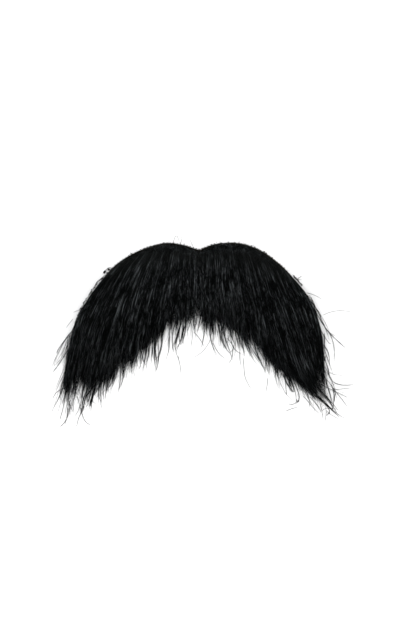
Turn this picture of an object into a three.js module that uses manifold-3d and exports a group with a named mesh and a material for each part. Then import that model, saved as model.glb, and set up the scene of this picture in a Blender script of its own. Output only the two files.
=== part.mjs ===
// Fake moustache lying on its back: a crescent of net with a corded edge, and rows of hair knotted to it.
// Millimetres, +Z up from the surface, +Y towards the nose edge, +X to the viewer's right.
// The origin is on the surface, under the middle of the whole moustache.

import * as THREE from 'three';
import { mergeVertices } from 'three/addons/utils/BufferGeometryUtils.js';
import Module from 'manifold-3d';

const wasm = await Module();
wasm.setup();

// Driving dimensions of the outline: from the parting out to each tip, and from the crest down to it
const leftSpan = 62.5;
const rightSpan = 57.5;
const leftDrop = 75.5;
const rightDrop = 73.5;

// Driving dimensions of the backing
const netWidth = 18;
const netThickness = 1;
const edgeCordDiameter = 1;

// Driving dimensions of the hair
const underHairHeight = 3.2;
const topHairHeight = 3.6;
const underLocks = 13;
const topLocks = 12;
const fringeJag = 4;

// Clearances between pieces that touch on the real thing
const seatGap = 0.3;
const layerGap = 0.4;
const partingGap = 0.4;
const footClear = 1.6;

// The net's upper edge on each wing, from the parting outwards. out is a share of the wing's span and down
// of its drop. net is the net's width there, as a share of netWidth.
const leftEdge = [
  { out: 0.000, down: 0.042, net: 0.90 },
  { out: 0.076, down: 0.020, net: 0.93 },
  { out: 0.156, down: 0.005, net: 0.97 },
  { out: 0.246, down: 0.001, net: 1.00 },
  { out: 0.350, down: 0.021, net: 1.00 },
  { out: 0.466, down: 0.060, net: 0.95 },
  { out: 0.581, down: 0.119, net: 0.84 },
  { out: 0.668, down: 0.190, net: 0.68 },
  { out: 0.769, down: 0.298, net: 0.42 },
];
const rightEdge = [
  { out: 0.000, down: 0.043, net: 0.90 },
  { out: 0.097, down: 0.014, net: 0.93 },
  { out: 0.203, down: 0.000, net: 0.97 },
  { out: 0.310, down: 0.001, net: 1.00 },
  { out: 0.412, down: 0.020, net: 1.00 },
  { out: 0.510, down: 0.055, net: 0.95 },
  { out: 0.608, down: 0.110, net: 0.84 },
  { out: 0.702, down: 0.178, net: 0.68 },
  { out: 0.819, down: 0.294, net: 0.42 },
];

// Hair lines from the parting outwards. start is where a line is knotted, as a share of the edge's length.
// The mid and tip columns are where it passes and ends, as shares of the wing's span and drop. full is
// how full the rows are there, as a share of their heights.
const leftLines = [
  { start: 0.000, midOut: 0.000, midDown: 0.286, tipOut: 0.000, tipDown: 0.540, full: 0.92 },
  { start: 0.080, midOut: 0.091, midDown: 0.280, tipOut: 0.105, tipDown: 0.560, full: 0.96 },
  { start: 0.165, midOut: 0.199, midDown: 0.305, tipOut: 0.264, tipDown: 0.645, full: 1.00 },
  { start: 0.278, midOut: 0.371, midDown: 0.322, tipOut: 0.475, tipDown: 0.775, full: 1.00 },
  { start: 0.399, midOut: 0.564, midDown: 0.390, tipOut: 0.735, tipDown: 0.940, full: 1.00 },
  { start: 0.535, midOut: 0.718, midDown: 0.436, tipOut: 0.912, tipDown: 1.020, full: 1.00 },
  { start: 0.685, midOut: 0.811, midDown: 0.440, tipOut: 0.995, tipDown: 0.965, full: 0.86 },
  { start: 0.876, midOut: 0.884, midDown: 0.480, tipOut: 1.000, tipDown: 0.760, full: 0.62 },
];
const rightLines = [
  { start: 0.000, midOut: 0.002, midDown: 0.290, tipOut: 0.003, tipDown: 0.550, full: 0.92 },
  { start: 0.118, midOut: 0.117, midDown: 0.290, tipOut: 0.129, tipDown: 0.585, full: 0.96 },
  { start: 0.235, midOut: 0.262, midDown: 0.310, tipOut: 0.302, tipDown: 0.660, full: 1.00 },
  { start: 0.342, midOut: 0.427, midDown: 0.350, tipOut: 0.522, tipDown: 0.755, full: 1.00 },
  { start: 0.445, midOut: 0.584, midDown: 0.422, tipOut: 0.747, tipDown: 0.905, full: 1.00 },
  { start: 0.552, midOut: 0.710, midDown: 0.462, tipOut: 0.940, tipDown: 1.010, full: 1.00 },
  { start: 0.672, midOut: 0.822, midDown: 0.470, tipOut: 1.036, tipDown: 1.015, full: 0.86 },
  { start: 0.866, midOut: 0.919, midDown: 0.482, tipOut: 1.032, tipDown: 0.860, full: 0.62 },
];

// Stations along a lock of the under row. run is 0 at the edge of the net, 1 at its lower edge and 2 at
// the lock's tip. width is a share of the lock's room. foot is 1 on the net and 0 on the surface.
// crown is a share of the row's height above the surface.
const underStations = [
  { run: 0.40, width: 1.00, foot: 1, crown: 0.48 },
  { run: 0.72, width: 1.00, foot: 1, crown: 0.84 },
  { run: 1.00, width: 1.00, foot: 1, crown: 1.00 },
  { run: 1.12, width: 1.00, foot: 0, crown: 0.98 },
  { run: 1.45, width: 0.98, foot: 0, crown: 0.80 },
  { run: 1.74, width: 0.74, foot: 0, crown: 0.50 },
  { run: 2.00, width: 0.12, foot: 0, crown: 0.20 },
];

// Stations along a lock of the top row, which lies on the net's upper part and then on the under row.
// thick is a share of topHairHeight.
const topStations = [
  { run: 0.06, width: 1.00, thick: 0.24 },
  { run: 0.40, width: 1.00, thick: 0.62 },
  { run: 0.72, width: 1.00, thick: 0.88 },
  { run: 1.00, width: 1.00, thick: 1.00 },
  { run: 1.12, width: 1.00, thick: 0.98 },
  { run: 1.45, width: 0.92, thick: 0.76 },
  { run: 1.74, width: 0.58, thick: 0.44 },
  { run: 1.90, width: 0.12, thick: 0.20 },
];

// A lock's section, from its left foot round over its crown: across is a share of half its width
const lockSection = [
  { across: -0.86, up: 0.00 },
  { across: -1.00, up: 0.42 },
  { across: -0.52, up: 0.88 },
  { across: 0.00, up: 1.00 },
  { across: 0.52, up: 0.88 },
  { across: 1.00, up: 0.42 },
  { across: 0.86, up: 0.00 },
];
const lockOverlap = 1.2;
const jagStep = 0.618;

// Resolution of the curved edges
const edgeSteps = 22;
const cordSteps = 52;
const cordHalfSides = 4;
const searchSteps = 40;
const searchHalvings = 10;

const seat = Math.max(netThickness, edgeCordDiameter) + seatGap;

const hairLook = { color: 0x141516, roughness: 0.45, metalness: 0 };
const netLook = { color: 0x24221c, roughness: 0.85, metalness: 0 };

// A smooth curve through one column of a table, read by row from 0 to 1
function graded(rows, column) {
  return new THREE.CatmullRomCurve3(rows.map((row, i) => new THREE.Vector3(i, row[column], 0)), false, 'centripetal');
}

// A wing: side is -1 on the left and 1 on the right, and u runs from 0 at the parting to 1 at its outer lock
function makeWing(side, span, drop, edgeRows, lines) {
  const through = (rows, out, down) => new THREE.CatmullRomCurve3(
    rows.map((row) => new THREE.Vector3(side * (partingGap / 2 + row[out] * span), -row[down] * drop, 0)),
    false,
    'centripetal',
  );
  return {
    side,
    edge: through(edgeRows, 'out', 'down'),
    widths: graded(edgeRows, 'net'),
    starts: graded(lines, 'start'),
    mids: through(lines, 'midOut', 'midDown'),
    tips: through(lines, 'tipOut', 'tipDown'),
    fulls: graded(lines, 'full'),
    lineCount: lines.length,
  };
}

// The point at share t of the hair line at u: a parabola from the knot through the middle to the tip
function onLine(wing, u, t) {
  const root = rootAt(wing, u);
  const tip = wing.tips.getPoint(u);
  const bend = wing.mids.getPoint(u).multiplyScalar(2).addScaledVector(root, -0.5).addScaledVector(tip, -0.5);
  return new THREE.QuadraticBezierCurve3(root, bend, tip).getPoint(t);
}

function rootAt(wing, u) {
  return wing.edge.getPointAt(THREE.MathUtils.clamp(wing.starts.getPoint(u).y, 0, 1));
}

// The length of the hair line at u, near enough, by way of its middle
function lineLength(wing, u) {
  const middle = wing.mids.getPoint(u);
  return rootAt(wing, u).distanceTo(middle) + middle.distanceTo(wing.tips.getPoint(u));
}

// The upper edge of the net from the left end over the parting to the right end, moved inwards by the
// clear distance plus that share of the net's width
function edgeLine(left, right, clear, widthShare) {
  const shares = Array.from({ length: edgeSteps }, (_, i) => (i + 1) / edgeSteps);
  const points = [
    ...shares.toReversed().map((share) => left.edge.getPoint(share)),
    left.edge.getPoint(0).lerp(right.edge.getPoint(0), 0.5),
    ...shares.map((share) => right.edge.getPoint(share)),
  ];
  const widths = [
    ...shares.toReversed().map((share) => left.widths.getPoint(share).y),
    left.widths.getPoint(0).y,
    ...shares.map((share) => right.widths.getPoint(share).y),
  ];
  return points.map((point, i) => {
    const before = points[Math.max(i - 2, 0)];
    const along = points[Math.min(i + 2, points.length - 1)].clone().sub(before).normalize();
    const inwards = clear + widthShare * widths[i] * netWidth;
    return new THREE.Vector3(point.x + along.y * inwards, point.y - along.x * inwards, 0);
  });
}

function isInside(outline, point) {
  let inside = false;
  outline.forEach((corner, i) => {
    const next = outline[(i + 1) % outline.length];
    if ((corner.y > point.y) !== (next.y > point.y)) {
      const crossing = corner.x + (next.x - corner.x) * (point.y - corner.y) / (next.y - corner.y);
      inside = point.x < crossing ? !inside : inside;
    }
  });
  return inside;
}

// The share of the hair line at u that lies over the net and its corded edge: the last of its even steps
// that is inside their outline, brought closer by halving
function shareOnNet(wing, u) {
  let on = 0;
  for (let step = 1; step < searchSteps; step += 1) {
    on = isInside(backingOutline, onLine(wing, u, step / searchSteps)) ? step / searchSteps : on;
  }
  let off = on + 1 / searchSteps;
  for (let halving = 0; halving < searchHalvings; halving += 1) {
    const between = (on + off) / 2;
    if (isInside(backingOutline, onLine(wing, u, between))) {
      on = between;
    } else {
      off = between;
    }
  }
  return on;
}

// The same for every hair line of the wing, evened out between them
function netShares(wing) {
  const rows = Array.from({ length: wing.lineCount }, (_, i) => ({ share: shareOnNet(wing, i / (wing.lineCount - 1)) }));
  return graded(rows, 'share');
}

// The share of the hair line at u that a run reaches, for a lock that ends short of the line by that much
function shareAtRun(wing, u, run, short) {
  const length = lineLength(wing, u);
  const onNet = wing.netShares.getPoint(u).y + footClear / length;
  const end = 1 - short / length;
  return run <= 1 ? run * onNet : onNet + (run - 1) * (end - onNet);
}

// The under row's crown above the surface at a run, straight between its stations
function underCrown(wing, u, run) {
  const after = underStations.findIndex((station) => station.run >= run);
  const next = underStations[after];
  const before = underStations[Math.max(after - 1, 0)];
  const way = next === before ? 0 : (run - before.run) / (next.run - before.run);
  const share = before.crown + way * (next.crown - before.crown);
  return share * (seat + underHairHeight * wing.fulls.getPoint(u).y);
}

// The foot and crown of each row at a station: the top row lies on the net until the under row begins
function underLevels(wing, u, station) {
  return { foot: seat * station.foot, crown: underCrown(wing, u, station.run) };
}

function topLevels(wing, u, station) {
  const onNet = station.run < underStations[0].run;
  const foot = onNet ? seat : underCrown(wing, u, station.run) + layerGap;
  return { foot, crown: foot + topHairHeight * wing.fulls.getPoint(u).y * station.thick };
}

// A closed solid through rings of equal point counts, with a flat cap at each end
function loft(rings) {
  const count = rings[0].length;
  const positions = rings.flat().flatMap((point) => [point.x, point.y, point.z]);
  const faces = [];
  for (let i = 0; i + 1 < rings.length; i += 1) {
    for (let j = 0; j < count; j += 1) {
      const here = i * count + j;
      const beside = i * count + ((j + 1) % count);
      faces.push(here, beside, beside + count, here, beside + count, here + count);
    }
  }
  const last = (rings.length - 1) * count;
  for (let j = 1; j + 1 < count; j += 1) {
    faces.push(0, j + 1, j, last, last + j, last + j + 1);
  }
  const geometry = new THREE.BufferGeometry();
  geometry.setAttribute('position', new THREE.Float32BufferAttribute(positions, 3));
  geometry.setIndex(faces);
  return geometry;
}

// One tapered lock of hair, on the hair line at its middle, as wide as its room between neighbours
function lockSolid(wing, middle, halfRoom, short, stations, levels) {
  const section = wing.side > 0 ? lockSection.toReversed() : lockSection;
  const rings = stations.map((station) => section.map(({ across, up }) => {
    const u = THREE.MathUtils.clamp(middle + across * halfRoom * station.width * lockOverlap, 0, 1);
    const point = onLine(wing, u, shareAtRun(wing, u, station.run, short));
    const { foot, crown } = levels(wing, u, station);
    point.z = foot + up * (crown - foot);
    return point;
  }));
  return solidOf(loft(rings));
}

// A solid for joining, from a closed geometry
function solidOf(geometry) {
  const merged = mergeVertices(geometry);
  return new wasm.Manifold(new wasm.Mesh({
    numProp: 3,
    vertProperties: new Float32Array(merged.attributes.position.array),
    triVerts: new Uint32Array(merged.index.array),
  }));
}

function geometryOf(solid) {
  const mesh = solid.getMesh();
  const geometry = new THREE.BufferGeometry();
  geometry.setAttribute('position', new THREE.Float32BufferAttribute(mesh.vertProperties, 3));
  geometry.setIndex(Array.from(mesh.triVerts));
  geometry.computeVertexNormals();
  return geometry;
}

function named(name, geometry, look) {
  const mesh = new THREE.Mesh(geometry, new THREE.MeshStandardMaterial(look));
  mesh.name = name;
  return mesh;
}

// A row of hair: its locks side by side across the wing, each ending a little shorter or longer
function hairRow(name, wing, locks, stations, levels) {
  let row = null;
  for (let i = 0; i < locks; i += 1) {
    const middle = (i + 0.5) / locks;
    const short = fringeJag * ((i * jagStep) % 1);
    const lock = lockSolid(wing, middle, 0.5 / locks, short, stations, levels);
    row = row ? row.add(lock) : lock;
  }
  return named(name, geometryOf(row), hairLook);
}

// The net: a flat crescent
function netBacking() {
  const geometry = new THREE.ExtrudeGeometry(new THREE.Shape(netOutline), {
    depth: netThickness,
    bevelEnabled: false,
    steps: 1,
  });
  return named('net_backing', geometry, netLook);
}

// The corded edge: a round cord along the root line, lying on the surface
function edgeCord(left, right) {
  const radius = edgeCordDiameter / 2;
  const path = new THREE.CatmullRomCurve3(edgeLine(left, right, radius, 0).map((point) => point.setZ(radius)));
  const section = new THREE.Shape();
  section.absarc(0, 0, radius, 0, 2 * Math.PI, false);
  const geometry = new THREE.ExtrudeGeometry(section, {
    steps: cordSteps,
    curveSegments: cordHalfSides,
    extrudePath: path,
  });
  return named('edge_cord', geometry, netLook);
}

const leftWing = makeWing(-1, leftSpan, leftDrop, leftEdge, leftLines);
const rightWing = makeWing(1, rightSpan, rightDrop, rightEdge, rightLines);
const besideCord = edgeCordDiameter + seatGap;
const netLowerEdge = edgeLine(leftWing, rightWing, besideCord, 1).toReversed();
const netOutline = [...edgeLine(leftWing, rightWing, besideCord, 0), ...netLowerEdge];
const backingOutline = [...edgeLine(leftWing, rightWing, -edgeCordDiameter, 0), ...netLowerEdge];
leftWing.netShares = netShares(leftWing);
rightWing.netShares = netShares(rightWing);

const moustache = new THREE.Group();
moustache.add(netBacking());
moustache.add(edgeCord(leftWing, rightWing));
moustache.add(hairRow('left_under_hair', leftWing, underLocks, underStations, underLevels));
moustache.add(hairRow('left_top_hair', leftWing, topLocks, topStations, topLevels));
moustache.add(hairRow('right_under_hair', rightWing, underLocks, underStations, underLevels));
moustache.add(hairRow('right_top_hair', rightWing, topLocks, topStations, topLevels));

// The origin goes to the surface under the middle of the moustache
const extent = new THREE.Box3().setFromObject(moustache, true);
const middle = extent.getCenter(new THREE.Vector3());
moustache.position.set(-middle.x, -middle.y, -extent.min.z);

export default moustache;
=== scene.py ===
"""A fake moustache on a white floor: strands of hair knotted on a net with a corded edge.

The moustache lies on its back, seen from straight above. Each wing is combed along hair lines that fan out
from the parting. A hair line is a parabola from a knot on the net's edge, through a middle point, to a tip.
Every strand follows the hair lines from its own knot, gathers with its neighbours into a tuft towards the
fringe, and climbs over the strands that are knotted below it. All shapes are worked out as whole arrays.
"""

import bpy
import numpy as np
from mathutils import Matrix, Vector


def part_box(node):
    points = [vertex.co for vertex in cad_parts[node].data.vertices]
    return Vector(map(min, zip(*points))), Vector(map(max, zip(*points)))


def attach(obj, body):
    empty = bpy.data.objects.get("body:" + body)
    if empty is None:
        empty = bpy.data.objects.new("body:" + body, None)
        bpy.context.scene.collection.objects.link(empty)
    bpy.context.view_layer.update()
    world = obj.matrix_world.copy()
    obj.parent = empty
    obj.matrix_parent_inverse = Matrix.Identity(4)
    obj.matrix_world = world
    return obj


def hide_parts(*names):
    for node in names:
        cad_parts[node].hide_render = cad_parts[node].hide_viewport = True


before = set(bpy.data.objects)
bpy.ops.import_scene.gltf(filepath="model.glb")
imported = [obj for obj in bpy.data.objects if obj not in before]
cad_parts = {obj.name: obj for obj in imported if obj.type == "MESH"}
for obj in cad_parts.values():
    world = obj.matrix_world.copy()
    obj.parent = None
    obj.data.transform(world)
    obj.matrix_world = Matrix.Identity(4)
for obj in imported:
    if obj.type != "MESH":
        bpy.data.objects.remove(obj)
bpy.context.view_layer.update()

bl_info = {
    "name": "Fake moustache",
    "version": (1, 0, 0),
    "blender": (4, 5, 0),
    "location": "View3D > Sidebar > Moustache",
    "description": "Makes a fake moustache of single strands knotted on a net, and the floor it lies on",
    "category": "Object",
}

MM = 0.001
BODY = "root"
ROWS = ("under", "top")

# Where the moustache lies: the parting's place across and the crest's place up, from the frame
LEFT_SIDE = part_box("left_under_hair")
RIGHT_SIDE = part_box("right_under_hair")
EDGE_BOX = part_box("edge_cord")
NET_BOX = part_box("net_backing")
PARTING_X = (LEFT_SIDE[1].x + RIGHT_SIDE[0].x) / 2
CREST_Y = EDGE_BOX[1].y
CORD_DIAMETER = EDGE_BOX[1].z - EDGE_BOX[0].z
CROWN_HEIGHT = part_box("left_top_hair")[1].z

# The photograph's frame, for the camera and for the single hairs that are placed by it
PHOTO_SIZE = (420, 630)
PHOTO_PIXEL = 0.451 * MM
PHOTO_PARTING_PX = 198.6
PHOTO_CREST_PX = 242


def table(names, rows):
    """A table with named columns: {name: its column as an array}."""
    return dict(zip(names.split(), np.array(rows, float).T))


# The net's upper edge on each wing, from the parting outwards: shares of the span, drop and net width
LEFT_EDGE = table(
    "out down net",
    (
        (0.000, 0.042, 0.90),
        (0.076, 0.020, 0.93),
        (0.156, 0.005, 0.97),
        (0.246, 0.001, 1.00),
        (0.350, 0.021, 1.00),
        (0.466, 0.060, 0.95),
        (0.581, 0.119, 0.84),
        (0.668, 0.190, 0.68),
        (0.769, 0.298, 0.42),
    ),
)
RIGHT_EDGE = table(
    "out down net",
    (
        (0.000, 0.043, 0.90),
        (0.097, 0.014, 0.93),
        (0.203, 0.000, 0.97),
        (0.310, 0.001, 1.00),
        (0.412, 0.020, 1.00),
        (0.510, 0.055, 0.95),
        (0.608, 0.110, 0.84),
        (0.702, 0.178, 0.68),
        (0.819, 0.294, 0.42),
    ),
)

# Hair lines from the parting outwards. start is a share of the edge's length, the mid and tip columns are
# shares of the wing's span and drop, full is a share of the hair's height, and flick is how far the fringe is
# combed outwards at the tip, in mm.
LEFT_LINES = table(
    "start mid_out mid_down tip_out tip_down full flick",
    (
        (0.000, 0.000, 0.286, 0.000, 0.540, 0.92, 0.0),
        (0.080, 0.091, 0.280, 0.105, 0.560, 0.96, 0.0),
        (0.165, 0.199, 0.305, 0.264, 0.645, 1.00, 0.0),
        (0.278, 0.371, 0.322, 0.475, 0.775, 1.00, 0.0),
        (0.399, 0.564, 0.390, 0.735, 0.940, 1.00, -0.5),
        (0.535, 0.718, 0.436, 0.912, 1.020, 1.00, 0.0),
        (0.685, 0.811, 0.440, 0.955, 0.965, 0.86, 0.0),
        (0.876, 0.880, 0.480, 0.945, 0.760, 0.62, 0.5),
    ),
)
RIGHT_LINES = table(
    "start mid_out mid_down tip_out tip_down full flick",
    (
        (0.000, 0.002, 0.290, 0.003, 0.550, 0.92, 0.0),
        (0.118, 0.117, 0.290, 0.129, 0.585, 0.96, 0.0),
        (0.235, 0.262, 0.310, 0.302, 0.660, 1.00, 0.0),
        (0.342, 0.427, 0.350, 0.522, 0.755, 1.00, 0.5),
        (0.445, 0.584, 0.422, 0.747, 0.905, 1.00, 2.5),
        (0.552, 0.710, 0.462, 0.940, 1.010, 1.00, 5.0),
        (0.672, 0.822, 0.470, 0.990, 1.015, 0.86, 2.0),
        (0.866, 0.937, 0.482, 0.965, 0.860, 0.62, 0.0),
    ),
)

# The hair's upper surface along a hair line: run is 0 at the edge, 1 at the net's lower edge, 2 at the tip
CROWN = table(
    "run height",
    (
        (0.00, 0.16),
        (0.06, 0.26),
        (0.40, 0.58),
        (0.72, 0.88),
        (1.00, 1.00),
        (1.14, 0.98),
        (1.45, 0.78),
        (1.74, 0.47),
        (1.90, 0.26),
        (2.00, 0.14),
        (2.30, 0.08),
    ),
)

# Where the mass of the hair ends over the fringe, by the photograph's pixels
FRINGE = table(
    "x y",
    (
        (52, 358), (58, 367), (62, 374), (66, 379), (69, 381), (72, 378), (76, 377),
        (80, 377), (84, 380), (88, 382), (92, 384), (96, 381), (100, 378), (104, 376),
        (108, 377), (112, 372), (116, 367), (121, 361), (125, 361), (129, 358), (133, 356),
        (137, 355), (140, 350), (143, 346), (147, 346), (150, 337), (154, 336), (158, 337),
        (161, 333), (164, 329), (167, 322), (170, 321), (173.5, 318), (177, 322), (181, 317),
        (185, 318), (190, 318), (193, 315), (196, 310), (198.5, 306), (201, 312), (204, 323),
        (207, 318), (210, 326), (214, 320), (219, 318), (223, 321), (227, 324), (231, 329),
        (236, 329), (240, 334), (245, 338), (249, 335), (253, 340), (258, 344), (263, 350),
        (268, 357), (272, 362), (276, 366), (280, 366), (284, 371), (288, 377), (291, 376),
        (295, 380), (300, 384), (305, 388), (308, 387), (313, 387), (316, 378), (319, 366),
        (322, 361), (326, 354), (334, 346),
    ),
)

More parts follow.
